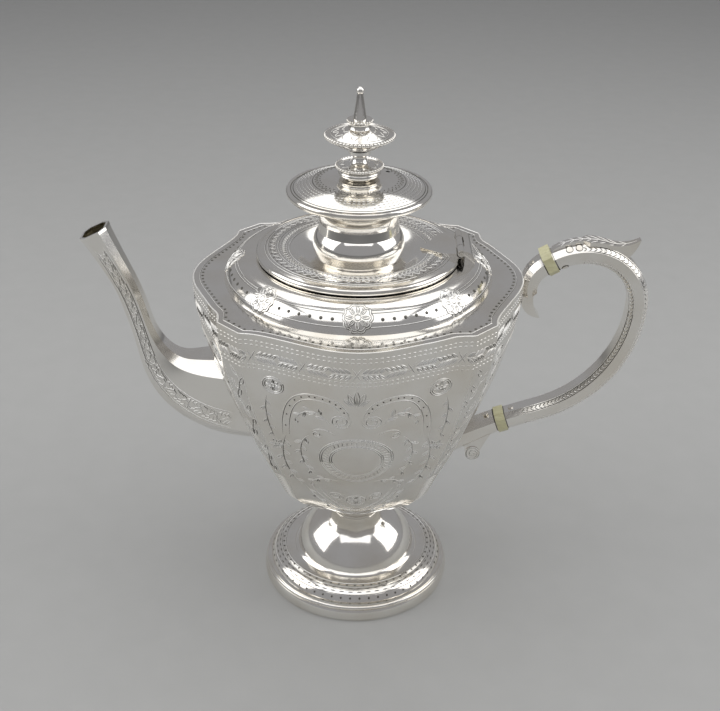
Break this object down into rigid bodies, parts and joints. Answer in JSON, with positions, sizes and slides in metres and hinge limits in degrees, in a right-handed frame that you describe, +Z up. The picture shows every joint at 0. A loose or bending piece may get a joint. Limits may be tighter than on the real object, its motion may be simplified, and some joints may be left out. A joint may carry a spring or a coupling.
{
  "type": "silver teapot",
  "caption": "Tall lobed urn-shaped teapot on a round pedestal foot, with a curved spout, an insulated loop handle and a hinged lid under a small canopy and finial.",
  "frame": {"origin": "centre of the foot ring on the surface that the pot stands on", "axes": "+Z up along the foot's axis, -X towards the spout, +X towards the handle and the hinge, +Y across"},
  "size_m": [0.2588, 0.1516, 0.2533],
  "materials": {
    "silver": "polished silver",
    "insulator": "polished pale bone",
    "pin_metal": "polished silver wire",
    "fixing_metal": "turned"
  },
  "bodies": {
    "pot": {"foot_rim": "silver", "pedestal_foot": "silver", "stem_collar": "silver", "body_shell": "silver", "shoulder": "silver", "mouth_collar": "silver", "spout_front_half": "silver", "spout_back_half": "silver", "spout_lip": "silver", "upper_socket": "silver", "lower_socket": "silver", "upper_insulator": "insulator", "lower_insulator": "insulator", "handle_grip": "silver", "thumb_leaf": "silver", "upper_pins": "pin_metal", "lower_pins": "pin_metal", "hinge_body_leaf": "silver", "hinge_pin": "silver"},
    "lid": {"lid_plate": "silver", "lid_rim_wire": "silver", "lid_bezel": "silver", "lid_neck": "silver", "canopy_rim_wire": "silver", "lid_canopy": "silver", "finial_base": "silver", "finial_dish": "silver", "finial_stem": "silver", "finial_disc": "silver", "finial_cup": "silver", "finial_spire": "silver", "finial_stud": "fixing_metal", "finial_washer": "fixing_metal", "finial_nut": "fixing_metal", "hinge_lid_leaf": "silver"}
  },
  "joints": [
    {"name": "lid_hinge", "type": "hinge", "parent": "pot", "child": "lid", "pos_m": [0.0456, 0, 0.1817], "axis": [0, 1, 0], "range_deg": [0, 100]}
  ]
}
